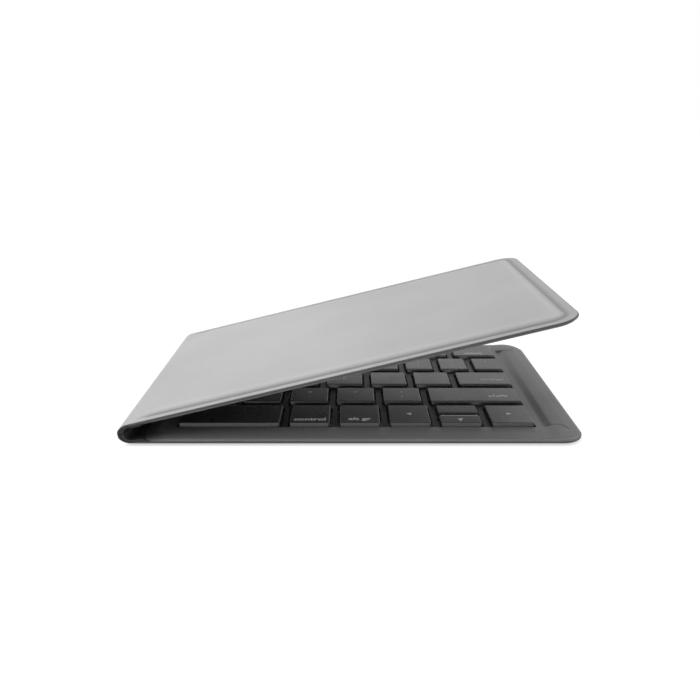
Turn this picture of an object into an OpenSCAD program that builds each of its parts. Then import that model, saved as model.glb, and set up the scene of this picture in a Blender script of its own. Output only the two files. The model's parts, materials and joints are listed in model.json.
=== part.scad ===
// Folding keyboard that opens like a book: a base half and a lid half in padded leather,
// joined by a leather spine with a crease along each of its edges. Shown a little open.
// The base lies on its padded cover at z = 0, keys up, with its middle at the origin.
// +X runs from the spine to the outer edge, +Y from the front edge to the rear edge.

/* [Panels] */
// Free length between the base fold and its widest row of keys
spine_margin = 11.6; // [11:0.1:16]
// Length between the base keys and the outer edge
base_margin = 13.4; // [12.6:0.1:20]
// Length between the lid keys and the outer edge
lid_margin = 21.1; // [20.6:0.1:24]
// Depth between the front edge and the front row
front_margin = 9.7; // [7.5:0.1:14]
// Depth between the rear row and the rear edge
rear_margin = 7.5; // [7.5:0.1:14]
// Radius of a half's outer corners
corner_r = 8; // [6:0.5:10]
// Radius of a half's corners at the spine
spine_corner_r = 1.5; // [1:0.1:3]

/* [Covers] */
// Thickness of the cover under the keys
cover_t = 0.5; // [0.4:0.05:0.8]
// Height by which the padded panel stands proud of its border
pad_rise = 0.7; // [0.6:0.05:1.2]
// Width of the pressed border round the padded panel
border_w = 5; // [4:0.1:6]
// Thickness of the border
border_t = 0.8; // [0.7:0.05:1.2]
// Radius on the padded panel's edge
pad_edge_r = 0.6; // [0.3:0.05:0.6]
// Thickness of the liner on the border
liner_t = 0.4; // [0.3:0.05:0.6]
// Set-back of the liner from the cover's edge
liner_inset = 0.4; // [0.2:0.05:0.8]
// Length between the fold and the liner
liner_spine_x = 1.2; // [1:0.1:2]
// Set-back of the liner's window from the pocket
liner_back = 0.2; // [0.1:0.05:0.4]
// Width of the ledge between the panel's edge and the pocket
ledge = 0.6; // [0.5:0.05:0.9]
// Length between the fold and the pocket
pocket_x = 8.5; // [8.2:0.1:9.2]
// Radius of the pocket's corners
pocket_corner_r = 1; // [0.6:0.1:1.5]
// Clearance round what is laid in the pocket
seat_gap = 0.15; // [0.1:0.01:0.2]

/* [Outer rim] */
// Width of the key frame's wall beside its outermost windows
outer_wall = 0.55; // [0.5:0.05:1]
// Length of the flat lip between the key frame and the groove
lip_w = 0.2; // [0.1:0.05:0.6]
// Drop of the lip below the key frame's top
lip_drop = 0.1; // [0.05:0.05:0.3]
// Height of the groove's floor over the border
groove_floor = 0.25; // [0.2:0.05:0.5]
// Drop of the groove's far edge below the lip, as a share of the groove's depth
groove_far = 0.1; // [0:0.05:0.3]
// Length of the slope from the groove up to the crest
crest_run = 2; // [1.5:0.1:3]
// Width of the groove beside the base keys
groove_w = 4.4; // [3:0.1:5]
// Height of the raised rim over the border's liner
rim_rise = 0.8; // [0.4:0.05:1.2]

/* [Spine] */
// Height of the fold axes over the border's outer face
fold_in = 0.3; // [0.25:0.01:0.35]
// Opening of each fold as shown, from closed
fold_rest = 7; // [0:0.5:45]
// Outward bulge of the spine strip
spine_bulge = 0.6; // [0.3:0.05:0.6]
// Gap between a fold axis and the leather beside it
fold_gap = 0.45; // [0.4:0.01:0.6]
// Thickness of the spine's outer leather
spine_leather = 0.4; // [0.3:0.01:0.4]
// Thickness of the ribbon cable inside the spine
ribbon_t = 0.1; // [0.08:0.01:0.15]
// Width of the ribbon cable
ribbon_w = 14; // [8:1:20]
// Thickness of the spine's inner lining
spine_lining = 0.3; // [0.2:0.01:0.3]
// Part of the outer leather that lies inside the strip's arc
leather_in = 0.1; // [0.05:0.01:0.15]
// Set-back of the strip's ends from the front and rear edges
spine_inset = 0.8; // [0.5:0.05:1.5]

/* [Key module] */
// Pitch of the keys
pitch = 17; // [16.5:0.1:19]
// Extra depth of the front row
front_extra = 2; // [1:0.1:3]
// Gap between caps side by side
gap_x = 3; // [2.8:0.1:3.6]
// Gap between caps of neighbouring rows
gap_y = 3.5; // [3:0.1:4]
// Gap between the two half-height arrow caps
gap_arrow = 2; // [1.8:0.1:2.4]
// Thickness of the steel plate
plate_t = 0.3; // [0.2:0.05:0.4]
// Thickness of the switch film
film_t = 0.2; // [0.1:0.05:0.3]
// Height of the key frame
frame_t = 1.4; // [1.3:0.05:1.8]
// Width of the step round the key frame
frame_step_w = 1; // [0.6:0.1:1.2]
// Depth of that step
frame_step_h = 0.7; // [0.4:0.1:0.9]
// Height of the caps over the key frame
cap_rise = 1.35; // [1.3:0.05:1.6]
// Travel of a key
travel = 1.2; // [0.8:0.05:1.25]
// Wall and top thickness of a cap
cap_wall = 0.7; // [0.6:0.05:0.8]
// Radius of a cap's upright corners
cap_corner_r = 1; // [0.6:0.1:1.5]
// Radius on a cap's top edge
cap_edge_r = 0.35; // [0.2:0.05:0.4]
// Lean of a cap's walls over its height
cap_draft = 0.2; // [0.1:0.05:0.3]
// Clearance between a cap and its window in the frame
window_gap = 0.5; // [0.4:0.05:0.6]
// Clearance between the facing caps when closed
closed_gap = 0.2; // [0.2:0.05:0.6]

/* [Switches] */
// Clearance over a pressed cap, and under a resting one
press_clear = 0.05; // [0.03:0.01:0.1]
// Clearance between the links and the cap's walls
link_side = 0.2; // [0.15:0.05:0.4]
// Length of a scissor link
link_l = 9; // [8:0.1:9.5]
// Width of a scissor link under a full cap
link_w = 9; // [8.6:0.1:9.5]
// Thickness of a link's side bar
link_bar = 0.7; // [0.5:0.05:0.8]
// Height of a link's side bar
link_h = 0.5; // [0.4:0.05:0.6]
// Clearance between the two links of a pair
link_gap = 0.15; // [0.1:0.01:0.2]
// Radius of a rubber dome
dome_r = 2.5; // [2:0.1:2.6]
// Wall of a dome
dome_wall = 0.3; // [0.2:0.05:0.35]
// Thickness of a dome's crown
dome_crown = 0.5; // [0.4:0.05:0.6]
// Radius of a dome's crown, as a share of the dome's
crown_share = 0.56; // [0.5:0.02:0.6]
// Radius of the plunger under a cap
plunger_r = 1; // [0.8:0.1:1.4]
// Height of that plunger
plunger_h = 0.25; // [0.2:0.05:0.3]

/* [Electronics] */
// Length between the lid's bay and the outer edge
bay_margin = 7.9; // [7.3:0.1:8.5]
// Wall of the bay
bay_wall = 0.9; // [0.7:0.05:1]
// Roof of the bay
bay_roof = 0.5; // [0.4:0.05:0.6]
// Thickness of the battery
battery_t = 1.5; // [1.2:0.1:1.6]
// Length of the battery
battery_l = 46; // [30:1:48]
// Depth between the bay's front and the battery
battery_edge = 4; // [2:0.5:8]
// Thickness of the main board
board_t = 0.8; // [0.6:0.1:1]
// Length of the main board
board_l = 20; // [14:1:22]
// Depth between the board and the charging socket
board_edge = 3; // [1:0.5:6]
// Length of the chip on the board
chip_l = 5; // [3:0.5:6]
// Height of that chip
chip_t = 0.7; // [0.4:0.1:0.8]
// Length between the chip and the board's edges
chip_edge = 3; // [1:0.5:4]
// Width of the charging socket
socket_w = 7.5; // [7:0.1:8]
// Height of the charging socket
socket_h = 2.4; // [2:0.1:2.6]
// Depth of the charging socket
socket_d = 5.6; // [5:0.1:6]
// Thickness of the socket's shell
socket_shell = 0.3; // [0.2:0.05:0.4]
// Thickness of the socket's back
socket_back = 0.5; // [0.3:0.1:1]
// Wall round the socket
socket_wall = 0.6; // [0.5:0.05:0.8]
// Set-back of the socket's mouth from the rear edge
socket_mouth = 0.9; // [0.7:0.05:1.2]
// Depth of the socket below the border's inner face
socket_sink = 0.1; // [0.05:0.05:0.15]
// Depth of the notch for the socket's wall in the border
notch_d = 0.4; // [0.35:0.05:0.5]
// Height of the bay's top over the lid's key frame
bay_rise = 0.45; // [0.3:0.05:0.8]
// Length of a closing magnet
magnet_l = 14; // [8:1:20]
// Width of a closing magnet
magnet_w = 3.2; // [2:0.1:3.2]
// Thickness of a closing magnet
magnet_t = 0.5; // [0.4:0.05:0.5]
// Length between a magnet and the outer edge
magnet_edge = 1.2; // [1:0.1:1.4]
// Depth between a magnet and the front or rear edge
magnet_y = 18; // [14:1:30]

/* [Hidden] */

// Colours as photographed
leather_light = "#b9b9b9";
leather_dark = "#5b5b5b";
cap_dark = "#4c4c4e";
frame_dark = "#2f2f31";
steel = "#a7a9ab";
film = "#c9cdc6";
link_grey = "#8e9092";
cell_grey = "#9aa0a3";
board_green = "#2d5a45";
metal = "#c4c6c8";
copper = "#b98a4e";

// Key rows from front to rear. Each key has a name, a width in pitches and the part of the row's
// depth that it takes. Rows run from the fold to the outer edge, and end in line at that side.
BASE_ROWS = [
    [["space", 2.19, "whole"], ["ctrl", 0.99, "whole"], ["alt", 1, "whole"], ["left", 1.01, "whole"],
     ["up", 1.01, "rear"], ["down", 1.01, "front"], ["right", 1.03, "whole"]],
    [["n", 1, "whole"], ["m", 1, "whole"], ["comma", 1, "whole"], ["period", 1, "whole"],
     ["slash", 1, "whole"], ["shift", 2.12, "whole"]],
    [["h", 1, "whole"], ["j", 1, "whole"], ["k", 1, "whole"], ["l", 1, "whole"],
     ["semicolon", 1, "whole"], ["quote", 1, "whole"], ["enter", 1.36, "whole"]],
    [["y", 1, "whole"], ["u", 1, "whole"], ["i", 1, "whole"], ["o", 1, "whole"],
     ["p", 0.86, "whole"], ["bracket_open", 0.83, "whole"], ["bracket_close", 0.83, "whole"],
     ["backslash", 0.83, "whole"]],
    [["7", 1, "whole"], ["8", 1, "whole"], ["9", 1, "whole"], ["0", 1, "whole"],
     ["minus", 1, "whole"], ["equals", 1, "whole"], ["delete", 1.2, "whole"]]
];
LID_ROWS = [
    [["space", 2.7, "whole"], ["cmd", 1.2, "whole"], ["option", 1, "whole"], ["control", 1, "whole"],
     ["function", 1, "whole"]],
    [["b", 1, "whole"], ["v", 1, "whole"], ["c", 1, "whole"], ["x", 1, "whole"], ["z", 1, "whole"],
     ["shift", 2, "whole"]],
    [["g", 1, "whole"], ["f", 1, "whole"], ["d", 1, "whole"], ["s", 1, "whole"], ["a", 1, "whole"],
     ["caps", 1.85, "whole"]],
    [["t", 1, "whole"], ["r", 1, "whole"], ["e", 1, "whole"], ["w", 1, "whole"], ["q", 1, "whole"],
     ["tab", 1.6, "whole"]],
    [["6", 1, "whole"], ["5", 1, "whole"], ["4", 1, "whole"], ["3", 1, "whole"], ["2", 1, "whole"],
     ["1", 1, "whole"], ["grave", 1, "whole"]]
];
ROWS = len(BASE_ROWS);

// Sums along a row: a key that shares its column with the next one takes no width of its own
function share(key) = key[2] == "rear" ? 0 : key[1];
function before(row, i) = i == 0 ? 0 : before(row, i - 1) + share(row[i - 1]);
function row_units(row) = before(row, len(row));

// Plan of a half
key_units = max([for (row = BASE_ROWS) row_units(row)]);
half_len = spine_margin + key_units * pitch + base_margin;
depth = front_margin + ROWS * pitch + front_extra - gap_y + rear_margin;
base_keys_end = half_len - base_margin;
lid_keys_end = half_len - lid_margin;

// Heights in a half, from its padded face inwards
border_top = pad_rise + border_t;
liner_top = border_top + liner_t;
plate_z = cover_t;
film_z = plate_z + plate_t;
frame_z = film_z + film_t;
frame_top = frame_z + frame_t;
cap_top = frame_top + cap_rise;
cap_h = cap_top - frame_z - travel - press_clear;
cap_under = cap_top - cap_wall;
closed_t = 2 * cap_top + closed_gap;
bay_top = frame_top + bay_rise;

// Folds
fold_z = pad_rise + fold_in;
spine_w = closed_t - 2 * fold_z;
strip_chord = spine_w - 2 * fold_gap;
strip_r = strip_chord * strip_chord / (8 * spine_bulge) + spine_bulge / 2;

// Pocket for the key module, and what fills it
pocket_inset = border_w + ledge;
liner_window = pocket_inset - liner_back;
base_pocket_end = base_keys_end - gap_x / 2 + window_gap + outer_wall + seat_gap;
lid_pocket_end = half_len - bay_margin;
bay_x = lid_keys_end;
magnet_x = half_len - magnet_edge - magnet_w;
eps = 0.01;

// Bay at the lid's outer end
bay_in_x = bay_x + bay_wall;
bay_in_end = lid_pocket_end - seat_gap - bay_wall;
bay_floor = cover_t;
battery_y = pocket_inset + battery_edge;
board_y = depth - pocket_inset - board_edge - socket_d - board_l;
socket_z = border_top - socket_sink;
port_x = (bay_x + lid_pocket_end) / 2;
port_w = socket_w + 2 * socket_wall;
port_y = depth - socket_mouth - socket_d - socket_wall;
port_top = socket_z + socket_h + socket_wall;

// Height of a switch's dome
dome_h = cap_under - plunger_h - frame_z - press_clear;

// Moves a half from its own plan into place

module on_base() translate([-half_len / 2, -depth / 2, 0]) children();

module turned_about(z) translate([0, 0, z]) rotate([0, -fold_rest, 0]) translate([0, 0, -z]) children();

module on_spine() on_base() turned_about(fold_z) children();

module on_lid() on_spine() turned_about(closed_t - fold_z)
    translate([0, 0, closed_t]) mirror([0, 0, 1]) children();

// Shapes that repeat

// Plate outline with its own radius at the spine side and at the outer side
module outline(x0, x1, y0, y1, r_in, r_out) {
    translate([x0, y0 + r_in]) square([x1 - x0 - r_out, y1 - y0 - 2 * r_in]);
    translate([x0 + r_in, y0]) square([x1 - x0 - r_in - r_out, y1 - y0]);
    translate([x0 + r_in, y0 + r_out]) square([x1 - x0 - r_in, y1 - y0 - 2 * r_out]);
    for (y = [y0 + r_in, y1 - r_in]) translate([x0 + r_in, y]) circle(r = r_in, $fn = 32);
    for (y = [y0 + r_out, y1 - r_out]) translate([x1 - r_out, y]) circle(r = r_out, $fn = 48);
}

module half_outline(inset) outline(inset, half_len - inset, inset, depth - inset,
    spine_corner_r, corner_r - inset);

// Side view of a block whose walls lean in by draft and whose top edges are rounded by r
module domed_side(a, b, h, draft, r, steps = 4)
    polygon(concat(
        [[a, 0], [b, 0]],
        [for (i = [0:steps]) let (t = 90 * i / steps)
            [b - draft - r + r * cos(t), h - r + r * sin(t)]],
        [for (i = [0:steps]) let (t = 90 + 90 * i / steps)
            [a + draft + r + r * cos(t), h - r + r * sin(t)]]));

// Rounded block from z = 0 up, made as its plan and its two side views crossed
module domed_block(x0, x1, y0, y1, h, draft, r, r_in, r_out) intersection() {
    linear_extrude(height = h) outline(x0, x1, y0, y1, r_in, r_out);
    translate([0, y1, 0]) rotate([90, 0, 0]) linear_extrude(height = y1 - y0)
        domed_side(x0, x1, h, draft, r);
    translate([x0, 0, 0]) rotate([90, 0, 90]) linear_extrude(height = x1 - x0)
        domed_side(y0, y1, h, draft, r);
}

module ring_link(length, width, bar) difference() {
    union() {
        translate([-length / 2, -width / 2, -link_h / 2]) cube([length, width, link_h]);
        for (x = [-length / 2, length / 2]) translate([x, width / 2, 0]) rotate([90, 0, 0])
            cylinder(h = width, r = link_h / 2, $fn = 16);
    }
    translate([-length / 2 + bar, -width / 2 + bar, -link_h])
        cube([length - 2 * bar, width - 2 * bar, 2 * link_h]);
}

// Places of the keys

function row_y(r) = front_margin + (r == 0 ? 0 : r * pitch + front_extra);
function row_d(r) = pitch - gap_y + (r == 0 ? front_extra : 0);
function key_x0(row, i, end) = end - (row_units(row) - before(row, i)) * pitch + gap_x / 2;
function key_x1(row, i, end) = key_x0(row, i, end) + row[i][1] * pitch - gap_x;
function half_d(r) = (row_d(r) - gap_arrow) / 2;
function key_y0(row, i, r) = row_y(r) + (row[i][2] == "rear" ? half_d(r) + gap_arrow : 0);
function key_y1(row, i, r) = key_y0(row, i, r) + (row[i][2] == "whole" ? row_d(r) : half_d(r));

// Sizes of the switch under a key: a half-height cap has narrow links and a small dome
function link_width(row, i, r) = min(link_w,
    key_y1(row, i, r) - key_y0(row, i, r) - 2 * cap_wall - 2 * link_side);
function small_dome(row, i, r) = link_width(row, i, r) / 2 - 2 * link_bar - 2 * link_gap;
function dome_radius(row, i, r) = min(dome_r, small_dome(row, i, r));

// Keys

module keycap(x0, x1, y0, y1) color(cap_dark) {
    translate([0, 0, cap_top - cap_h]) difference() {
        domed_block(x0, x1, y0, y1, cap_h, cap_draft, cap_edge_r, cap_corner_r, cap_corner_r);
        translate([x0 + cap_wall, y0 + cap_wall, -eps])
            cube([x1 - x0 - 2 * cap_wall, y1 - y0 - 2 * cap_wall, cap_h - cap_wall + eps]);
    }
    translate([(x0 + x1) / 2, (y0 + y1) / 2, cap_under - plunger_h])
        cylinder(h = plunger_h + eps, r = plunger_r, $fn = 24);
}

module key_of(row, i, r, end)
    keycap(key_x0(row, i, end), key_x1(row, i, end), key_y0(row, i, r), key_y1(row, i, r));

module lid_key_row(r) on_lid() for (i = [0:len(LID_ROWS[r]) - 1])
    key_of(LID_ROWS[r], i, r, lid_keys_end);

// Switches

// Rubber dome on the film, with a solid foot for the plunger on its crown
module dome(r) {
    crown = crown_share * r;
    translate([0, 0, frame_z - eps]) rotate_extrude($fn = 24)
        polygon([[r - dome_wall, 0], [r, 0], [r - dome_wall / 3, dome_wall],
            [crown + dome_wall / 3, dome_h - dome_wall], [crown, dome_h], [0, dome_h],
            [0, dome_h - dome_crown], [crown - dome_wall, dome_h - dome_crown]]);
}

module switch_film(rows, end, x1) color(film) {
    translate([0, 0, film_z]) linear_extrude(height = film_t)
        outline(pocket_x + 2 * seat_gap, x1, pocket_inset + 2 * seat_gap,
            depth - pocket_inset - 2 * seat_gap, pocket_corner_r, pocket_corner_r);
    for (r = [0:ROWS - 1]) for (i = [0:len(rows[r]) - 1])
        translate([(key_x0(rows[r], i, end) + key_x1(rows[r], i, end)) / 2,
            (key_y0(rows[r], i, r) + key_y1(rows[r], i, r)) / 2, 0]) dome(dome_radius(rows[r], i, r));
}

// Pair of crossed links, one inside the other, between the film and the cap
module link_pair(width) {
    rise = cap_under - frame_z - link_h - 2 * press_clear;
    lean = asin(rise / link_l);
    translate([0, 0, (cap_under + frame_z) / 2]) {
        rotate([0, lean, 0]) ring_link(link_l, width, link_bar);
        rotate([0, -lean, 0]) ring_link(link_l - 2 * link_bar - 2 * link_gap,
            width - 2 * link_bar - 2 * link_gap, link_bar);
    }
}

module scissor_links(rows, end) color(link_grey)
    for (r = [0:ROWS - 1]) for (i = [0:len(rows[r]) - 1])
        translate([(key_x0(rows[r], i, end) + key_x1(rows[r], i, end)) / 2,
            (key_y0(rows[r], i, r) + key_y1(rows[r], i, r)) / 2, 0])
            link_pair(link_width(rows[r], i, r));

module steel_plate(x1) color(steel) translate([0, 0, plate_z]) linear_extrude(height = plate_t)
    outline(pocket_x + seat_gap, x1, pocket_inset + seat_gap, depth - pocket_inset - seat_gap,
            pocket_corner_r, pocket_corner_r);

// Key frame

module windows(rows, end) for (r = [0:ROWS - 1]) for (i = [0:len(rows[r]) - 1])
    outline(key_x0(rows[r], i, end) - window_gap, key_x1(rows[r], i, end) + window_gap,
        key_y0(rows[r], i, r) - window_gap, key_y1(rows[r], i, r) + window_gap,
        cap_corner_r, cap_corner_r);

module key_frame(rows, end, x1) {
    translate([0, 0, frame_z]) linear_extrude(height = frame_t - frame_step_h) difference() {
        outline(pocket_x + seat_gap, x1, pocket_inset + seat_gap, depth - pocket_inset - seat_gap,
            pocket_corner_r, pocket_corner_r);
        windows(rows, end);
    }
    translate([0, 0, frame_top - frame_step_h - eps])
        linear_extrude(height = frame_step_h + eps) difference() {
        outline(pocket_x + seat_gap + frame_step_w, x1, pocket_inset + seat_gap + frame_step_w,
            depth - pocket_inset - seat_gap - frame_step_w, pocket_corner_r, pocket_corner_r);
        windows(rows, end);
    }
}

// Covers and liners

module cover(pocket_end) difference() {
    union() {
        translate([0, 0, pad_rise]) linear_extrude(height = border_t) half_outline(0);
        translate([0, 0, border_top]) mirror([0, 0, 1])
            domed_block(border_w + spine_corner_r, half_len - border_w, border_w, depth - border_w,
                border_top, 0, pad_edge_r, spine_corner_r, corner_r - border_w / 2);
    }
    translate([0, 0, cover_t]) linear_extrude(height = border_top)
        outline(pocket_x, pocket_end, pocket_inset, depth - pocket_inset,
            pocket_corner_r, pocket_corner_r);
    translate([-eps, -eps, -eps]) cube([fold_gap + eps, depth + 2 * eps, closed_t]);
    for (y = [magnet_y, depth - magnet_y - magnet_l])
        translate([magnet_x, y, border_top - magnet_t - seat_gap])
            cube([magnet_w, magnet_l, magnet_t + seat_gap + eps]);
}

module magnets() color(metal) for (y = [magnet_y, depth - magnet_y - magnet_l])
    translate([magnet_x + seat_gap / 2, y + seat_gap / 2, border_top - magnet_t - seat_gap])
        cube([magnet_w - seat_gap, magnet_l - seat_gap, magnet_t]);

module liner_strip(window_end) translate([0, 0, border_top]) linear_extrude(height = liner_t)
    difference() {
        half_outline(liner_inset);
        outline(pocket_x - liner_back, window_end, liner_window, depth - liner_window,
            pocket_corner_r, pocket_corner_r);
        translate([-eps, -eps]) square([liner_spine_x + eps, depth + 2 * eps]);
    }

// Side view of the base's outer end: flat lip, groove, raised rim and rounded outer edge
module rim_side(x0) {
    x1 = half_len - liner_inset;
    crest = liner_top + rim_rise;
    lip = frame_top - lip_drop;
    low = border_top + groove_floor;
    far = lip - groove_far * (lip - low);
    groove_x = x0 + lip_w;
    slope_x = groove_x + groove_w;
    crest_x = slope_x + crest_run;
    polygon(concat(
        [[x1, border_top], [x0, border_top], [x0, lip]],
        [for (i = [0:10]) let (t = i / 10)
            [groove_x + t * groove_w, low + ((t < 0.5 ? lip : far) - low) * pow(cos(180 * t), 2)]],
        [for (i = [1:6]) let (t = i / 6) [slope_x + t * crest_run, far + (crest - far) * sin(90 * t)]],
        [for (i = [1:8]) let (t = i / 8)
            [crest_x + (x1 - crest_x) * t, border_top + (crest - border_top) * (1 - pow(t, 3))]]));
}

module raised_rim(x0) intersection() {
    translate([0, depth - liner_window, 0]) rotate([90, 0, 0])
        linear_extrude(height = depth - 2 * liner_window) rim_side(x0);
    linear_extrude(height = closed_t) half_outline(liner_inset);
}

// Spine, drawn closed: an upright strip that bulges away from the halves

module strip(outer, inner, y0, y1) intersection() {
    translate([strip_r - spine_bulge, y0, closed_t / 2]) rotate([-90, 0, 0]) difference() {
        cylinder(h = y1 - y0, r = strip_r + outer, $fn = 64);
        translate([0, 0, -eps]) cylinder(h = y1 - y0 + 2 * eps, r = strip_r - inner, $fn = 64);
    }
    translate([strip_r - spine_bulge, 0, closed_t / 2]) rotate([-90, 0, 0])
        linear_extrude(height = depth)
        polygon([[0, 0], 2 * [-strip_r, strip_chord / 2], 2 * [-strip_r, -strip_chord / 2]]);
}

// Lid bay for the battery, the board and the socket

module bay() {
    x1 = lid_pocket_end - seat_gap;
    difference() {
        translate([bay_x, pocket_inset + seat_gap, frame_z])
            cube([x1 - bay_x, depth - 2 * pocket_inset - 2 * seat_gap, bay_top - frame_z]);
        translate([bay_in_x, pocket_inset + seat_gap + bay_wall, frame_z - eps])
            cube([bay_in_end - bay_in_x, depth - 2 * (pocket_inset + seat_gap + bay_wall),
                bay_top - bay_roof - frame_z + eps]);
        translate([port_x - port_w / 2 + eps, port_y, frame_z - eps])
            cube([port_w - 2 * eps, depth, bay_top]);
    }
    difference() {
        translate([port_x - port_w / 2, port_y, border_top - socket_wall / 2])
            cube([port_w, depth - socket_mouth - port_y, port_top - border_top + socket_wall / 2]);
        translate([port_x - socket_w / 2 - seat_gap / 2, port_y - eps, socket_z - seat_gap / 2])
            cube([socket_w + seat_gap, socket_d + socket_wall + 2 * eps, socket_h + seat_gap]);
    }
}

module port_notch() translate([port_x - port_w / 2 - seat_gap, port_y - seat_gap, border_top - notch_d])
    cube([port_w + 2 * seat_gap, depth, closed_t]);

// Sub-parts of the base

module base_cover() color(leather_light) on_base() cover(base_pocket_end);

module base_liner() color(leather_dark) on_base() {
    liner_strip(base_pocket_end + liner_back);
    raised_rim(base_pocket_end + liner_back);
}

module base_plate() on_base() steel_plate(base_pocket_end - seat_gap);

module base_switch_film() on_base() switch_film(BASE_ROWS, base_keys_end, base_pocket_end - 2 * seat_gap);

module base_scissor_links() on_base() scissor_links(BASE_ROWS, base_keys_end);

module base_key_frame() color(frame_dark) on_base()
    key_frame(BASE_ROWS, base_keys_end, base_pocket_end - seat_gap);

module base_magnets() on_base() magnets();

// Sub-parts of the spine

module spine_cover() color(leather_light) on_spine()
    strip(spine_leather - leather_in, leather_in, spine_inset, depth - spine_inset);

module ribbon_cable() color(copper) on_spine()
    strip(-leather_in, leather_in + ribbon_t, (depth - ribbon_w) / 2, (depth + ribbon_w) / 2);

module spine_lining() color(leather_dark) on_spine()
    strip(-leather_in - ribbon_t, leather_in + ribbon_t + spine_lining, spine_inset, depth - spine_inset);

// Sub-parts of the lid

module lid_cover() color(leather_light) on_lid() difference() {
    cover(lid_pocket_end);
    port_notch();
}

module lid_liner() color(leather_dark) on_lid() difference() {
    liner_strip(lid_pocket_end + liner_back);
    port_notch();
}

module lid_plate() on_lid() steel_plate(bay_x - seat_gap);

module lid_switch_film() on_lid() switch_film(LID_ROWS, lid_keys_end, bay_x - 2 * seat_gap);

module lid_scissor_links() on_lid() scissor_links(LID_ROWS, lid_keys_end);

module lid_key_frame() color(frame_dark) on_lid() {
    key_frame(LID_ROWS, lid_keys_end, bay_x + eps);
    bay();
}

module lid_magnets() on_lid() magnets();

module battery() color(cell_grey) on_lid()
    translate([bay_in_x + seat_gap, battery_y, bay_floor])
    cube([bay_in_end - bay_in_x - 2 * seat_gap, battery_l, battery_t]);

module main_board() on_lid() {
    color(board_green) translate([bay_in_x + seat_gap, board_y, bay_floor])
        cube([bay_in_end - bay_in_x - 2 * seat_gap, board_l, board_t]);
    color(frame_dark) translate([bay_in_x + chip_edge, board_y + chip_edge, bay_floor + board_t - eps])
        cube([chip_l, chip_l, chip_t]);
}

module charge_socket() color(metal) on_lid() translate([port_x, 0, socket_z]) difference() {
    translate([-socket_w / 2, depth - socket_mouth - socket_d, 0]) cube([socket_w, socket_d, socket_h]);
    translate([-socket_w / 2 + socket_shell, depth - socket_mouth - socket_d + socket_back, socket_shell])
        cube([socket_w - 2 * socket_shell, socket_d, socket_h - 2 * socket_shell]);
}

base_cover();
base_liner();
base_plate();
base_switch_film();
base_scissor_links();
base_key_frame();
base_magnets();
spine_cover();
spine_lining();
ribbon_cable();
lid_cover();
lid_liner();
lid_plate();
lid_switch_film();
lid_scissor_links();
lid_key_frame();
lid_magnets();
battery();
main_board();
charge_socket();
for (r = [0:ROWS - 1]) for (i = [0:len(BASE_ROWS[r]) - 1])
    on_base() key_of(BASE_ROWS[r], i, r, base_keys_end);
for (r = [0:ROWS - 1]) lid_key_row(r);
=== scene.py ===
"""Dresses the folding keyboard: padded leather covers, soft liners, the leather spine, key
legends and the finish of every moulded, stamped and rubber part, lit as in a small studio."""
import json
import math

import bmesh
import bpy
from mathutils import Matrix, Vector
import numpy as np

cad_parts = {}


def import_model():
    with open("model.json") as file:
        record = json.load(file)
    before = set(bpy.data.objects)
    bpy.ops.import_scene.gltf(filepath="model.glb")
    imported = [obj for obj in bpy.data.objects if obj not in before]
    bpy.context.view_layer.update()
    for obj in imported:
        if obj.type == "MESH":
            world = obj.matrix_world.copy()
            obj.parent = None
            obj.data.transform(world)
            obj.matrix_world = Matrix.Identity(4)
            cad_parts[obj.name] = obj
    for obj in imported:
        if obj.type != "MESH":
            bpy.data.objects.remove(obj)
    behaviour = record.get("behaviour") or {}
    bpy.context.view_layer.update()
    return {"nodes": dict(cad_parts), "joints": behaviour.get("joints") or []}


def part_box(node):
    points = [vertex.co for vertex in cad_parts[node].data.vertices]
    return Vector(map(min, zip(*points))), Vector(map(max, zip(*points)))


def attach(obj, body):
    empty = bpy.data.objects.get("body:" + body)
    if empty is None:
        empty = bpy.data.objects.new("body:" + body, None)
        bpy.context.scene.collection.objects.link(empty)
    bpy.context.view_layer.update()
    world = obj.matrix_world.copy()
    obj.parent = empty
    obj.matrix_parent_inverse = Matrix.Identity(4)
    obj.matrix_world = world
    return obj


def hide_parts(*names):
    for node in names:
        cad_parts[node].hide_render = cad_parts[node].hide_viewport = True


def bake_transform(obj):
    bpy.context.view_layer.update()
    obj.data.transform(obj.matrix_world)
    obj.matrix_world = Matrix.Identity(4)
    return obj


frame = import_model()

MM = 0.001
NODES = frame["nodes"]
JOINTS = {joint["name"]: joint for joint in frame["joints"]}


# ---------------------------------------------------------------- sizes read from the frame

def box_mm(node):
    """Lowest and highest corner of a CAD node, in millimetres."""
    low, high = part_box(node)
    return np.array(low) / MM, np.array(high) / MM


COVER_LOW, COVER_HIGH = box_mm("base_cover")
LINER_HIGH = box_mm("base_liner")[1]
FRAME_LOW, FRAME_HIGH = box_mm("base_key_frame")
BASE_FOLD = np.array(JOINTS["spine_fold"]["pos_m"]) / MM
LID_FOLD = np.array(JOINTS["lid_fold"]["pos_m"]) / MM
FOLD_REST = math.radians(-JOINTS["spine_fold"]["range_deg"][0])

FOLD_X = BASE_FOLD[0]
FOLD_Z = BASE_FOLD[2]
HALF_LEN = COVER_HIGH[0] - FOLD_X
DEPTH = COVER_HIGH[1] - COVER_LOW[1]
CLOSED_T = 2 * FOLD_Z + float(np.linalg.norm(LID_FOLD - BASE_FOLD))
BORDER_TOP = COVER_HIGH[2]
LINER_INSET = COVER_HIGH[0] - LINER_HIGH[0]
DECK_Z = FRAME_HIGH[2]
FRAME_IN = FRAME_LOW[0] - FOLD_X
FRAME_OUT = FRAME_HIGH[0] - FOLD_X
FRAME_INSET = FRAME_LOW[1] - COVER_LOW[1]
CAP_TOP = box_mm("key_space")[1][2]
ROW_FRONT = box_mm("key_space")[0][1]
ROW_REAR = box_mm("key_7")[1][1]

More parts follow.
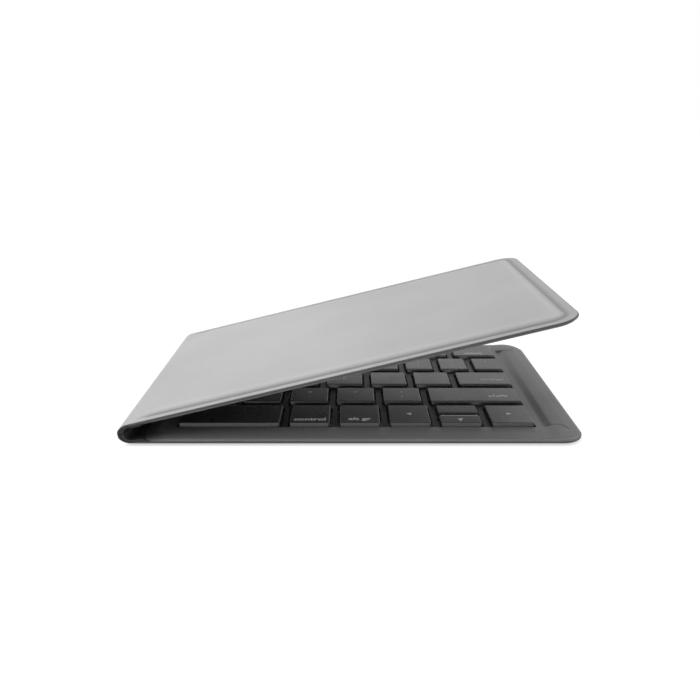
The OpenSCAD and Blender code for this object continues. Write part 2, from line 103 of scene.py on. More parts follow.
# Sizes of the leatherwork, in millimetres. The crease round the panel gets shallower by
# CREASE_D_LESS towards the outer end.
PAD_RISE = 0.7
CREASE_IN = 3.7
CREASE_D = 0.42
CREASE_D_LESS = 0.34
CREASE_W = 0.85
SHALLOW_START = 10
SHALLOW_EASE = 4
RIDGE_H = 0.08
RIDGE_W = 1.4
CROWN_H = 0.12
CROWN_REACH = 14
BORDER_SWELL = 0.09
ROLL_W = 0.7
SPINE_SKIN = 0.42
RECESS_EASE = 0.8
PAD_CORNER_R = 4.5
SHOULDER_W = 3.0
OUTER_R = 8.0
SPINE_CORNER_R = 0.5
EDGE_R = 0.3
COVER_SKIN = 0.45
LID_WINDOW_OUT = HALF_LEN - 7.8
SPINE_BULGE = 1.85
SPINE_START = 2.3
SPINE_SHAPE = 2.3


# ---------------------------------------------------------------- places

def turned(x, z, centre_z, angle):
    """Turns points about the axis x = 0, z = centre_z, from +X towards +Z."""
    dx, dz = x, z - centre_z
    return (dx * np.cos(angle) - dz * np.sin(angle),
            centre_z + dx * np.sin(angle) + dz * np.cos(angle))


def half_to_world(x, y, depth_in, lid, spine_share):
    """Puts points of a half in the row frame, in metres. x runs from the fold outwards, y from
    the front edge, depth_in from the padded face inwards. spine_share is 1 on the spine strip."""
    share = np.broadcast_to(spine_share, np.shape(x))
    if lid:
        px, pz = turned(x, CLOSED_T - depth_in, CLOSED_T - FOLD_Z, FOLD_REST * (1 - share))
        px, pz = turned(px, pz, FOLD_Z, FOLD_REST)
    else:
        px, pz = turned(x, depth_in, FOLD_Z, FOLD_REST * share)
    return np.stack([px + FOLD_X, y - DEPTH / 2, pz], axis=-1) * MM


# ---------------------------------------------------------------- smooth steps and outlines

def ease(t):
    """Rises from 0 to 1 between t = 0 and t = 1, level at both ends."""
    t = np.clip(t, 0, 1)
    return t * t * (3 - 2 * t)


def quarter_turn(distance, width):
    """Rises from 0 at the edge to 1 over the width, along a quarter of a circle."""
    return np.sqrt(1 - (1 - np.clip(distance / width, 0, 1)) ** 2)


def line_mark(distance, width):
    """A soft furrow: 1 on the line, falling off like a bell over the width."""
    return np.exp(-(distance / width) ** 2)


def round_box_inside(x, y, x0, x1, y0, y1, r):
    """Distance inside a rectangle with corners of radius r, negative outside it."""
    qx = np.abs(x - (x0 + x1) / 2) - (x1 - x0) / 2 + r
    qy = np.abs(y - (y0 + y1) / 2) - (y1 - y0) / 2 + r
    outside = np.hypot(np.maximum(qx, 0), np.maximum(qy, 0))
    return r - outside - np.minimum(np.maximum(qx, qy), 0)


def outer_inside(x, y, inset=0.0):
    """Distance inside a half's outline: square at the spine, round at the outer corners."""
    r = OUTER_R - inset
    return round_box_inside(x, y, -10 * HALF_LEN, HALF_LEN - inset, inset, DEPTH - inset, r)


def panel_inside(x, y):
    """Distance inside the crease round a half's padded panel, which runs on over the spine."""
    return round_box_inside(x, y, -HALF_LEN, HALF_LEN - CREASE_IN, CREASE_IN, DEPTH - CREASE_IN,
                            PAD_CORNER_R)


def from_end(y):
    """Distance to the nearer of the front and the rear edge."""
    return np.minimum(y, DEPTH - y)


# ---------------------------------------------------------------- meshes

def make_mesh(name, points, quads, materials, body=None, face_slots=None, smooth=True):
    """Makes an object from an array of points in metres and an array of quads or triangles."""
    mesh = bpy.data.meshes.new(name)
    mesh.from_pydata(points.reshape(-1, 3), [], quads.tolist())
    mesh.validate()
    for material in materials:
        mesh.materials.append(material)
    if face_slots is not None:
        mesh.polygons.foreach_set("material_index", face_slots.astype(np.int32))
    mesh.polygons.foreach_set("use_smooth", np.full(len(mesh.polygons), smooth))
    mesh.update()
    obj = bpy.data.objects.new(name, mesh)
    bpy.context.scene.collection.objects.link(obj)
    if body:
        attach(obj, body)
    return obj


def grid_quads(rows, columns, start=0, flip=False):
    """Quads of a grid of points stored row by row."""
    i, j = np.meshgrid(np.arange(rows - 1), np.arange(columns - 1), indexing="ij")
    a = start + i * columns + j
    quads = np.stack([a, a + columns, a + columns + 1, a + 1], axis=-1).reshape(-1, 4)
    return quads[:, ::-1] if flip else quads


def slab(outer, inner, flip):
    """Closed skin from two grids of the same shape, joined by walls round their four sides. Gives
    its points, its quads, and the first and the end index of the walls' quads."""
    rows, columns = outer.shape[:2]
    count = rows * columns
    points = np.concatenate([outer.reshape(-1, 3), inner.reshape(-1, 3)])
    ring = np.concatenate([np.arange(columns), np.arange(1, rows) * columns + columns - 1,
                           (rows - 1) * columns + np.arange(columns - 2, -1, -1),
                           np.arange(rows - 2, 0, -1) * columns])
    after = np.roll(ring, -1)
    wall = np.stack([ring, after, after + count, ring + count], axis=-1)
    quads = np.concatenate([grid_quads(rows, columns), grid_quads(rows, columns, count, True), wall])
    if flip:
        quads = quads[:, ::-1]
    faces = 2 * (rows - 1) * (columns - 1)
    return points, quads, (faces, faces + len(wall))


def spaced(*stretches):
    """Joined stretches of (start, end, steps), each shared end kept once."""
    parts = [np.linspace(a, b, n, endpoint=False) for a, b, n in stretches]
    return np.concatenate(parts + [np.array([stretches[-1][1]])])


# ---------------------------------------------------------------- materials

def hex_colour(code):
    """sRGB hex code to linear colour with alpha."""
    srgb = np.array([int(code[i:i + 2], 16) / 255 for i in (1, 3, 5)])
    linear = np.where(srgb <= 0.04045, srgb / 12.92, ((srgb + 0.055) / 1.055) ** 2.4)
    return (*linear, 1.0)


def new_material(name):
    """Node material with a Principled shader. Gives the material, the shader and the socket of the
    object's own coordinates."""
    material = bpy.data.materials.new(name)
    material.use_nodes = True
    material.node_tree.nodes.clear()
    shader = add(material, "ShaderNodeBsdfPrincipled")
    output = add(material, "ShaderNodeOutputMaterial")
    join(material, shader.outputs["BSDF"], output.inputs["Surface"])
    return material, shader, add(material, "ShaderNodeTexCoord").outputs["Object"]


def add(owner, kind, settings=None, **links):
    """Adds a node to a material or world, sets its plain values and links its inputs, which are
    named with _ for space."""
    tree = owner.node_tree
    node = tree.nodes.new(kind)
    for key, value in (settings or {}).items():
        if isinstance(key, str) and hasattr(node, key):
            setattr(node, key, value)
        else:
            node.inputs[key].default_value = value
    for key, socket in links.items():
        tree.links.new(socket, node.inputs[key.replace("_", " ")])
    return node


def ramp(material, fac, stops):
    """Colour ramp through (position, hex colour) stops."""
    node = add(material, "ShaderNodeValToRGB", Fac=fac)
    elements = node.color_ramp.elements
    while len(elements) > 1:
        elements.remove(elements[-1])
    elements[0].position, elements[0].color = stops[0][0], hex_colour(stops[0][1])
    for position, code in stops[1:]:
        elements.new(position).color = hex_colour(code)
    return node


def join(owner, output, into):
    """Links an output of a node to an input of another."""
    owner.node_tree.links.new(output, into)


def noise(material, place, size_mm, detail=2.0):
    """Noise with features of about size_mm."""
    return add(material, "ShaderNodeTexNoise", {"Scale": 1 / (size_mm * MM), "Detail": detail}, Vector=place)


# Share of the leather's own brightness that is left where the painted-shade value is 1: painted shade
PAINTED_SHADE_SHARE = 0.52


def coated_leather(name, base, worn, grain_mm, grain_depth, roughness):
    """Polyurethane-coated leather, embossed with a fine pebble grain and satin all over: the grain
    breaks the light into a soft sheen, and slow cloudy change of tone keeps it from looking flat.
    Where the piece carries a painted-shade value, its colour is darkened by it: painted shade, painted
    highlight below 0."""
    material, shader, place = new_material(name)
    cloud = noise(material, place, 28, 3.0)
    tone = ramp(material, cloud.outputs["Fac"], [(0.3, base), (0.75, worn)])
    pebble = add(material, "ShaderNodeTexVoronoi", {"feature": "SMOOTH_F1", "Scale": 1 / (grain_mm * MM),
                 "Smoothness": 0.6}, Vector=place)
    pore = noise(material, place, 0.35 * grain_mm)
    relief = add(material, "ShaderNodeMath", {"operation": "MULTIPLY_ADD", 1: 0.35})
    join(material, pore.outputs["Fac"], relief.inputs[0])
    join(material, pebble.outputs["Distance"], relief.inputs[2])
    bump = add(material, "ShaderNodeBump", {"Strength": 0.55, "Distance": grain_depth * MM},
               Height=relief.outputs["Value"])
    gloss = add(material, "ShaderNodeMapRange", {"From Min": 0.2, "From Max": 0.8,
                "To Min": roughness - 0.05, "To Max": roughness + 0.06}, Value=cloud.outputs["Fac"])
    # Painted shade: a value stored on the mesh scales the colour darker, or lighter where it is below 0
    pressed = add(material, "ShaderNodeAttribute", {"attribute_name": "pressed"})
    painted_shade_factor = add(material, "ShaderNodeMapRange", {"clamp": False, "To Min": 1.0, "To Max": PAINTED_SHADE_SHARE},
                  Value=pressed.outputs["Fac"])
    shade = add(material, "ShaderNodeVectorMath", {"operation": "SCALE"}, Vector=tone.outputs["Color"],
                Scale=painted_shade_factor.outputs["Result"])
    join(material, shade.outputs["Vector"], shader.inputs["Base Color"])
    join(material, gloss.outputs["Result"], shader.inputs["Roughness"])
    join(material, bump.outputs["Normal"], shader.inputs["Normal"])
    shader.inputs["IOR"].default_value = 1.48
    return material


def moulded_plastic(name, colour, shade, texture_mm, depth, roughness):
    """ABS moulded in a spark-eroded tool: matt, with a very fine even texture that shows as a soft
    highlight, and a trace of uneven gloss."""
    material, shader, place = new_material(name)
    spark = noise(material, place, texture_mm)
    haze = noise(material, place, 9)
    tone = ramp(material, haze.outputs["Fac"], [(0.3, colour), (0.7, shade)])
    bump = add(material, "ShaderNodeBump", {"Strength": 0.4, "Distance": depth * MM},
               Height=spark.outputs["Fac"])
    gloss = add(material, "ShaderNodeMapRange", {"From Min": 0.25, "From Max": 0.75,
                "To Min": roughness - 0.04, "To Max": roughness + 0.05}, Value=haze.outputs["Fac"])
    join(material, tone.outputs["Color"], shader.inputs["Base Color"])
    join(material, gloss.outputs["Result"], shader.inputs["Roughness"])
    join(material, bump.outputs["Normal"], shader.inputs["Normal"])
    shader.inputs["IOR"].default_value = 1.53
    return material


def rolled_metal(name, colour, shade, roughness, streak=(1, 14, 1)):
    """Rolled or plated sheet metal: faint streaks along the rolling direction."""
    material, shader, place = new_material(name)
    along = add(material, "ShaderNodeMapping", {"Scale": streak}, Vector=place)
    streaks = noise(material, along.outputs["Vector"], 3, 4.0)
    tone = ramp(material, streaks.outputs["Fac"], [(0.35, colour), (0.7, shade)])
    gloss = add(material, "ShaderNodeMapRange", {"To Min": roughness - 0.06, "To Max": roughness + 0.08},
                Value=streaks.outputs["Fac"])
    join(material, tone.outputs["Color"], shader.inputs["Base Color"])
    join(material, gloss.outputs["Result"], shader.inputs["Roughness"])
    shader.inputs["Metallic"].default_value = 1.0
    return material


def silicone(name, colour, shade):
    """Pressed silicone rubber: milky, softly shining, with a dusty bloom."""
    material, shader, place = new_material(name)
    bloom = noise(material, place, 2, 3.0)
    tone = ramp(material, bloom.outputs["Fac"], [(0.3, colour), (0.7, shade)])
    join(material, tone.outputs["Color"], shader.inputs["Base Color"])
    shader.inputs["Roughness"].default_value = 0.42
    shader.inputs["IOR"].default_value = 1.41
    shader.inputs["Subsurface Weight"].default_value = 0.15
    return material


def legend_ink(name, colour, shade):
    """Clear legends with a faint painted glow, so that they read in shade: matt, a little uneven at this
    size.
    """
    material, shader, place = new_material(name)
    blot = noise(material, place, 0.4)
    tone = ramp(material, blot.outputs["Fac"], [(0.3, colour), (0.7, shade)])
    join(material, tone.outputs["Color"], shader.inputs["Base Color"])
    # Painted glow: the ink gives off a faint light of its own colour, though nothing lights it from below
    join(material, tone.outputs["Color"], shader.inputs["Emission Color"])
    shader.inputs["Emission Strength"].default_value = 0.22
    shader.inputs["Roughness"].default_value = 0.6
    return material


LIGHT_LEATHER = coated_leather("light_coated_leather", "#bebebf", "#b9b9ba", 0.55, 0.05, 0.5)
DARK_LEATHER = coated_leather("dark_coated_leather", "#7b7b7d", "#767678", 0.5, 0.05, 0.43)
PAINTED_EDGE = coated_leather("painted_leather_edge", "#4e4e50", "#48484a", 0.4, 0.02, 0.4)
# The spine lining's near-black colour is painted shade for the hollow of the fold and the border beside it
LINING_PAINTED_SHADE = coated_leather("spine_lining_painted_shade", "#1a1a1b", "#161617", 0.4, 0.03, 0.6)
CAP_ABS = moulded_plastic("keycap_moulded_abs", "#434345", "#3f3f41", 0.12, 0.003, 0.29)
FRAME_ABS = moulded_plastic("key_frame_moulded_abs", "#232324", "#1f1f20", 0.16, 0.01, 0.5)
LINK_ACETAL = moulded_plastic("scissor_link_acetal", "#8e9092", "#86888a", 0.2, 0.005, 0.38)
PLATE_STEEL = rolled_metal("support_plate_steel", "#a7a9ab", "#9a9c9f", 0.34)
MAGNET_NICKEL = rolled_metal("magnet_nickel_plating", "#c9c9c6", "#bcbcb8", 0.2)
SOCKET_STEEL = rolled_metal("socket_shell_steel", "#c4c6c8", "#b8babc", 0.26)
CELL_FOIL = rolled_metal("battery_pouch_foil", "#a3a7aa", "#94989b", 0.4, (6, 6, 1))
DOME_SILICONE = silicone("dome_silicone", "#dfe3e2", "#d2d7d6")
BOARD_MASK = moulded_plastic("board_solder_mask", "#2d5a45", "#27523e", 0.3, 0.004, 0.35)
RIBBON_FILM = moulded_plastic("ribbon_polyimide_film", "#b98a4e", "#ab7d43", 0.5, 0.003, 0.3)
LEGEND_INK_PAINTED_GLOW = legend_ink("legend_ink", "#c4c4c4", "#b8b8b8")


# ---------------------------------------------------------------- leather covers and spine

def spine_curve(s):
    """Outer line of the leather, closed: straight along the border down to x = SPINE_START, then
    a superellipse quarter to the middle of the spine. s is the way round it in 0..1 for the curve
    and x - SPINE_START above 0 for the straight. Gives x, depth and the inward normal."""
    angle = np.clip(-s, 0, 1) * np.pi / 2
    reach = SPINE_START + SPINE_BULGE
    rise = CLOSED_T / 2 - PAD_RISE
    power = 2 / SPINE_SHAPE
    cx = SPINE_START - reach * np.sin(angle) ** power
    cz = CLOSED_T / 2 - rise * np.cos(angle) ** power
    nx = np.maximum(np.sin(angle), 1e-9) ** (2 - power) / reach
    nz = np.maximum(np.cos(angle), 1e-9) ** (2 - power) / rise
    size = np.hypot(nx, nz)
    straight = s > 0
    x = np.where(straight, SPINE_START + s, cx)
    z = np.where(straight, PAD_RISE, cz)
    return x, z, np.where(straight, 0, nx / size), np.where(straight, 1, nz / size)


def spine_share(s):
    """0 on the half, 1 on the spine strip, easing over the crease."""
    depth_in = spine_curve(s)[1]
    return ease((depth_in - FOLD_Z - 1.0) / 1.6 + 0.55) * (s < 0)


def corner_start(over, r):
    """How far a round corner of radius r starts inside the edge, over its start by over."""
    over = np.clip(over, 0, r)
    return r - np.sqrt(np.maximum(r ** 2 - over ** 2, 0))


def cover_grid():
    """The grid of a cover: s along it, and y from edge to edge, dense near the rolled edge and the crease."""
    end = HALF_LEN - SPINE_START
    turn = OUTER_R * np.sin(np.linspace(0, np.pi / 2, 46))
    s = np.concatenate([spaced((-1, 0, 30), (0, 3.2, 10), (3.2, 6.4, 24), (6.4, end - OUTER_R - 2, 34),
                               (end - OUTER_R - 2, end - OUTER_R, 8))[:-1], end - OUTER_R + turn])
    near = spaced((0, 0.6, 8), (0.6, 3.2, 9), (3.2, 5.6, 24), (5.6, 8.5, 14), (8.5, 13, 9))
    middle = np.linspace(0, 1, 40)[1:-1]
    x = spine_curve(s)[0]
    start = corner_start(x - (HALF_LEN - OUTER_R), OUTER_R)
    start = start + corner_start(SPINE_CORNER_R - SPINE_BULGE - x, SPINE_CORNER_R)
    front = start[:, None] + near[None, :]
    rear = DEPTH - front[:, ::-1]
    between = front[:, -1:] + (rear[:, :1] - front[:, -1:]) * middle[None, :]
    y = np.concatenate([front, between, rear], axis=1)
    return np.broadcast_to(s[:, None], y.shape), y


def cover_face(s, y):
    """Inward offset of a cover's outer face from the border's plane: rolled edge, faintly swelled
    border, a crease, and the panel's round shoulder, low ridge and slight crown. All but the rolled
    edge fade out at the spine."""
    x = SPINE_START + s
    edge = np.maximum(outer_inside(x, y), 0)
    panel = panel_inside(x, y)
    roll = EDGE_R * (1 - quarter_turn(edge, ROLL_W))
    strip = -BORDER_SWELL * np.sin(np.pi * np.clip((edge - 0.6) / (CREASE_IN - 0.6), 0, 1)) ** 2
    shallow = ease((x - HALF_LEN + SHALLOW_START) / SHALLOW_EASE)
    crease = (CREASE_D - CREASE_D_LESS * shallow) * line_mark(panel, CREASE_W)
    shoulder = np.sin(np.pi / 2 * np.clip(panel / SHOULDER_W, 0, 1))
    ridge = -RIDGE_H * line_mark(panel - SHOULDER_W, RIDGE_W)
    crown = -CROWN_H * ease(panel / CROWN_REACH)
    pad = -(PAD_RISE - CROWN_H) * shoulder
    return ease(s / 1.2) * strip + ease((s - 0.6) / 9) * (crease + pad + ridge + crown) + roll


def pressed_tone(s, y):
    """Painted shade: 1 in the crease round the panel, a little on the border outside it, and
    slightly below 0 on the ridge inside it, a painted highlight there."""
    panel = panel_inside(SPINE_START + s, y)
    mark = line_mark(panel, 1.0) + 0.25 * ease(-panel / 1.5) - 0.14 * line_mark(panel - SHOULDER_W, 1.2)
    return mark * ease((s - 0.6) / 6)


def leather_cover(name, lid):
    """Outer leather of a half, with its half of the spine, as one skin. Its back is hollow where
    the key frame and what lies under it are, and its rim has the painted edge."""
    s, y = cover_grid()
    x, z, nx, nz = spine_curve(s)
    face = cover_face(s, y)
    recess_end = LID_WINDOW_OUT if lid else FRAME_OUT
    pocket = round_box_inside(x, y, FRAME_IN, recess_end, FRAME_INSET, DEPTH - FRAME_INSET, 1.0)
    recess = ease(pocket / RECESS_EASE + 0.5)
    full = SPINE_SKIN + (BORDER_TOP - PAD_RISE - SPINE_SKIN) * ease(s / 1.5)
    back = full - (BORDER_TOP - COVER_SKIN) * recess
    share = spine_share(s)
    outer = half_to_world(x + nx * face, y, z + nz * face, lid, share)
    inner = half_to_world(x + nx * back, y, z + nz * back, lid, share)
    points, quads, (first, last) = slab(outer, inner, flip=lid)
    slots = np.zeros(len(quads), int)
    slots[first:last] = 1
    rim = outer_inside(x, y) < EDGE_R
    slots[:first][rim.reshape(-1)[quads[:first] % rim.size].all(axis=1)] = 1
    obj = make_mesh(name, points, quads, [LIGHT_LEATHER, PAINTED_EDGE],
                    face_slots=slots)
    # Painted shade in the crease and on the border, painted highlight on the ridge, none on the back
    painted_shades = np.concatenate([pressed_tone(s, y).reshape(-1), np.zeros(s.size)])
    obj.data.attributes.new("pressed", "FLOAT", "POINT").data.foreach_set("value", painted_shades)
    body = "lid" if lid else "base"
    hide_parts(body + "_cover", "spine_cover")
    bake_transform(obj)


leather_cover("lid_leather_cover", True)
leather_cover("base_leather_cover", False)


# Depths of the spine's lining from the outer line of the leather. It swells round the spine and
# drops at its end on the border.
LINING_UNDER = 0.44
LINING_TOP = 1.3
LINING_SWELL = 0.9
LINING_RISE = 0.35
LINING_DROP = 0.7
LINING_ROUND = 0.25


def spine_lining(name, lid):
    """Inner leather of the spine, thicker than the outer skin, from its middle onto the border. Its
    near-black colour is painted shade for the hollow of the fold and the border beside it.
    """
    s = spaced((-1, 0, 26), (0, 6.0, 18))
    y = spaced((0.05, 0.6, 5), (0.6, DEPTH - 0.6, 30), (DEPTH - 0.6, DEPTH - 0.05, 5))
    s, y = np.meshgrid(s, y, indexing="ij")
    x, z, nx, nz = spine_curve(s)
    start = corner_start(SPINE_CORNER_R - SPINE_BULGE - x, SPINE_CORNER_R)
    y = DEPTH / 2 + (y - DEPTH / 2) * (1 - 2 * start / DEPTH)
    tuck = LINING_ROUND * (1 - quarter_turn(from_end(y) - start, 0.6))
    under = LINING_UNDER + (BORDER_TOP + 0.05 - PAD_RISE - LINING_UNDER) * ease((s + 0.1) / 1.6)
    rise = LINING_TOP + LINING_SWELL * nx + LINING_RISE * ease(s / 2.5)
    top = rise - tuck - LINING_DROP * ease((s - 3.6) / 2.2)
    share = spine_share(s)
    inner = half_to_world(x + nx * top, y, z + nz * top, lid, share)
    outer = half_to_world(x + nx * under, y, z + nz * under, lid, share)
    points, quads, _ = slab(outer, inner, flip=lid)
    obj = make_mesh(name, points, quads, [LINING_PAINTED_SHADE])
    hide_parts("spine_lining")
    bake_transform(obj)


spine_lining("spine_lining_lid_side", True)
spine_lining("spine_lining_base_side", False)


# ---------------------------------------------------------------- liners

# The liner's inner edge laps over the step round the key frame and ends just below its deck
STEP_TOP = DECK_Z - 0.7
STEP_LAP = 0.75
WINDOW_IN = FRAME_IN + STEP_LAP
WINDOW_INSET = FRAME_INSET + STEP_LAP
LINER_START = 5.5
LIP = DECK_Z - BORDER_TOP - 0.01
EDGE_H = 0.55
LID_EDGE_H = 0.95
LID_EDGE_ROLL = 1.8
EDGE_ROLL = 1.1
SLOPE_W = 6.0

# Outer end of the base's liner: a sharp groove beside the deck, whose far side is the rounded
# face of a raised bead
GROOVE_X = FRAME_OUT + 1.0
GROOVE_LOW = 0.2
GROOVE_FLAT = 1.1
BEAD_TOP = 1.27
BEAD_W = 3.4
BEAD_END = 10.4
BEAD_FALL = 7.6
BEND_X = GROOVE_X + 5.4
BEND_Y = BEAD_END - 2.8
BEND_R = 3.1
BEND_D = 0.26

# Painted shade beside the fold, over its width, and at the groove's ends
FOLD_PAINTED_SHADE = 1.5
FOLD_PAINTED_SHADE_W = 9
PIT_PAINTED_SHADE = 1.1

# Shares of the way from a liner's outline to its window at which its rings lie
ACROSS = np.concatenate([np.linspace(0, 0.16, 12)[:-1], np.linspace(0.16, 1, 46)])


def ring_outline(x0, x1, y0, y1, r_in, r_out, sides, turn):
    """Closed outline of a rounded rectangle from its front left corner, anticlockwise, with the
    same number of points on each side and in each corner whatever its size."""
    corners = [(x0 + r_in, y0 + r_in, 180, r_in), (x1 - r_out, y0 + r_out, 270, r_out),
               (x1 - r_out, y1 - r_out, 0, r_out), (x0 + r_in, y1 - r_in, 90, r_in)]
    points = []
    for k, (cx, cy, start, r) in enumerate(corners):
        t = np.radians(start + np.linspace(0, 90, turn))
        arc = np.stack([cx + r * np.cos(t), cy + r * np.sin(t)], axis=-1)
        nx, ny, nstart, nr = corners[(k + 1) % 4]
        to = np.array([nx + nr * np.cos(np.radians(nstart)), ny + nr * np.sin(np.radians(nstart))])
        t = np.linspace(0, 1, sides[k % 2] + 2)[1:-1, None]
        f = t - 0.85 * np.sin(2 * np.pi * t) / (2 * np.pi)
        points += [arc, arc[-1] * (1 - f) + to * f]
    return np.concatenate(points)


def ring_quads(total, count):
    """Quads of a closed skin of rings that are stacked into a tube whose ends meet."""
    i, j = np.meshgrid(np.arange(total), np.arange(count), indexing="ij")
    after, side = (i + 1) % total, (j + 1) % count
    return np.stack([i * count + j, i * count + side, after * count + side, after * count + j],
                    -1).reshape(-1, 4)


def liner_painted_shade(x, y):
    """Painted shade on a liner: darkest beside the fold, and at the groove's ends."""
    pit = line_mark(np.hypot(x - GROOVE_X - 1.6, from_end(y) - BEAD_END - 0.2), 0.9)
    return FOLD_PAINTED_SHADE * (1 - ease((x - LINER_START) / FOLD_PAINTED_SHADE_W)) + PIT_PAINTED_SHADE * pit


def liner_mesh(name, lid, x_out, height):
    """Ring of leather between the outline and the window, which ends at x_out. Its height over the
    border comes from the function height(x, y, edge); it closes on the border underneath."""
    sides, turn = (150, 150), 14
    outside = ring_outline(LINER_START, HALF_LEN - LINER_INSET, LINER_INSET, DEPTH - LINER_INSET, 1.0,
                           OUTER_R - LINER_INSET, sides, turn)
    opening = ring_outline(WINDOW_IN, x_out, WINDOW_INSET, DEPTH - WINDOW_INSET, 1.0, 1.2, sides, turn)
    t = ACROSS[:, None, None]
    plan = outside[None] * (1 - t) + opening[None] * t
    x, y = plan[..., 0], plan[..., 1]
    edge = np.maximum(outer_inside(x, y, LINER_INSET), 0)
    window = np.maximum(-round_box_inside(x, y, WINDOW_IN, x_out, WINDOW_INSET, DEPTH - WINDOW_INSET, 1.0), 0)
    top = BORDER_TOP + height(x, y, edge)
    over_step = window < STEP_LAP + 0.05
    under = BORDER_TOP + 0.02 + np.where(over_step, STEP_TOP - BORDER_TOP + 0.02, 0)
    rings = np.concatenate([half_to_world(x, y, top, lid, 0.0), half_to_world(x, y, under, lid, 0.0)[::-1]])
    # Painted shade beside the fold and at the groove's ends, none underneath
    painted_shades = np.concatenate([liner_painted_shade(x, y), np.zeros(x.shape)])
    quads = ring_quads(*rings.shape[:2])
    if lid:
        quads = quads[:, ::-1]
    obj = make_mesh(name, rings, quads, [DARK_LEATHER], "lid" if lid else "base")
    obj.data.attributes.new("pressed", "FLOAT", "POINT").data.foreach_set("value", painted_shades.reshape(-1))
    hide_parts("lid_liner" if lid else "base_liner")


def soft_border(edge, edge_h=EDGE_H, roll=EDGE_ROLL):
    """Rounded outer edge, then a padded slope that rises inwards and turns level."""
    slope = 1 - (1 - np.clip(edge / SLOPE_W, 0, 1)) ** 1.7
    return (edge_h + (LIP - edge_h) * slope) * quarter_turn(edge, roll)


def bead(run):
    """Height of the bead's section at a distance from the groove's edge: flat, then an S-bend up."""
    return GROOVE_LOW + (BEAD_TOP - GROOVE_LOW) * ease((run - GROOVE_FLAT) / BEAD_W)


def base_liner_height(x, y, edge):
    """Soft border that swells towards the outer end, with the groove cut into the swelling and a
    fine crease that bends round the groove's ends."""
    run = x - GROOVE_X
    near = from_end(y)
    swell = ease((run - 0.5) / 5) * (1 - ease((run - BEAD_FALL) / 4.6))
    border = soft_border(edge) * (1 + (BEAD_TOP / LIP - 1) * swell)
    cut = ease(run / 0.3) * ease((near - BEAD_END) / 0.7 + 0.5)
    away = np.where(x < BEND_X, near - BEAD_END - 0.3, np.hypot(x - BEND_X, near - BEND_Y) - BEND_R)
    crease = BEND_D * line_mark(away, 0.4) * ease((run - 1) / 1.5) * ease((near - BEND_Y + 1.5) / 2)
    return border + (np.minimum(bead(run), border) - border) * cut - crease


def lid_liner_height(_x, _y, edge):
    """Soft border alone, fuller at its edge than the base's."""
    return soft_border(edge, LID_EDGE_H, LID_EDGE_ROLL)


liner_mesh("base_soft_liner", False, FRAME_OUT + 0.1, base_liner_height)
liner_mesh("lid_soft_liner", True, LID_WINDOW_OUT, lid_liner_height)


HEM_T = 0.04
HEM_GAP = 0.004
HEM_REACH = 0.45
HEM_IN = 0.5
HEM_R = 0.5


def liner_hem():
    """Thin hem of the base's liner, glued over the flat margin of the key frame up to the keys."""
    sides, turn = (40, 30), 4
    keys_in = box_mm("key_space")[0][0] - FOLD_X - HEM_REACH
    keys_out = box_mm("key_right")[1][0] - FOLD_X + HEM_REACH
    keys_front = ROW_FRONT - COVER_LOW[1] - HEM_REACH
    keys_rear = DEPTH - (COVER_HIGH[1] - ROW_REAR) + HEM_REACH
    front = FRAME_INSET + HEM_IN
    rear = DEPTH - FRAME_INSET - HEM_IN
    outside = ring_outline(FRAME_IN + HEM_IN, GROOVE_X - 0.05, front, rear, HEM_R, HEM_R, sides, turn)
    inside = ring_outline(keys_in, keys_out, keys_front, keys_rear, HEM_R, HEM_R, sides, turn)
    low, high = DECK_Z + HEM_GAP, DECK_Z + HEM_T
    rings = [half_to_world(ring[:, 0], ring[:, 1], np.full(len(ring), depth), False, 0.0)
             for ring, depth in ((outside, low), (outside, high), (inside, high), (inside, low))]
    obj = make_mesh("base_liner_hem", np.stack(rings), ring_quads(len(rings), len(outside)),
                    [DARK_LEATHER], "base", smooth=False)
    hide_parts("base_liner")


liner_hem()


# ---------------------------------------------------------------- finishes of the CAD pieces

def finish_of(name):
    """Material of a CAD node, from what the piece is."""
    if name.startswith("key_") or name.startswith("lid_keys"):
        return CAP_ABS
    for ending, material in (("key_frame", FRAME_ABS), ("plate", PLATE_STEEL), ("magnets", MAGNET_NICKEL),
                             ("switch_film", DOME_SILICONE), ("scissor_links", LINK_ACETAL),
                             ("battery", CELL_FOIL), ("main_board", BOARD_MASK),
                             ("charge_socket", SOCKET_STEEL), ("ribbon_cable", RIBBON_FILM),
                             ("cover", LIGHT_LEATHER)):
        if name.endswith(ending):
            return material
    return DARK_LEATHER


for name, node in NODES.items():
    node.data.materials.clear()
    node.data.materials.append(finish_of(name))


# ---------------------------------------------------------------- legends

INK_T = 0.02
INK_LIFT = INK_T / 2 + 0.002
CAP_MARGIN = 3.2
CAP_GAP = 0.3
GLYPH_H, PAIR_H, WORD_H = 4.0, 2.8, 3.1
# Places as shares of a cap's depth: two marks from its middle, and a word below the middle on a
# wide cap, which is more than WIDE_CAP times as long as it is deep
PAIR_APART = 0.17
WORD_BELOW = 0.12
WIDE_CAP = 1.3
# Width of a word and its distance from the key's outer side
WORD_FIT = {"control": (10.8, 0), "alt gr": (7.8, 0), "shift": (7.2, 4.2), "enter": (9.4, 2.0)}
ARROWS = {"left": 180, "right": 0, "down": 270}
BASE_LEGENDS = {"ctrl": ["control"], "alt": ["alt gr"], "comma": ["<", ","], "period": [">", "."],
                "slash": ["?", "/"], "shift": ["shift"], "semicolon": [":", ";"], "quote": ['"', "'"],
                "enter": ["enter"], "bracket_open": ["{", "["], "bracket_close": ["}", "]"],
                "backslash": ["|", "\\"], "7": ["&", "7"], "8": ["*", "8"], "9": ["(", "9"],
                "0": [")", "0"], "minus": ["_", "-"], "equals": ["+", "="], "delete": ["delete"]}
LID_LEGENDS = [[[], ["alt"], ["alt"], ["ctrl"], ["fn"]],
               [["B"], ["V"], ["C"], ["X"], ["Z"], ["shift"]],
               [["G"], ["F"], ["D"], ["S"], ["A"], ["caps"]],
               [["T"], ["R"], ["E"], ["W"], ["Q"], ["tab"]],
               [["^", "6"], ["%", "5"], ["$", "4"], ["#", "3"], ["@", "2"], ["!", "1"], ["~", "`"]]]


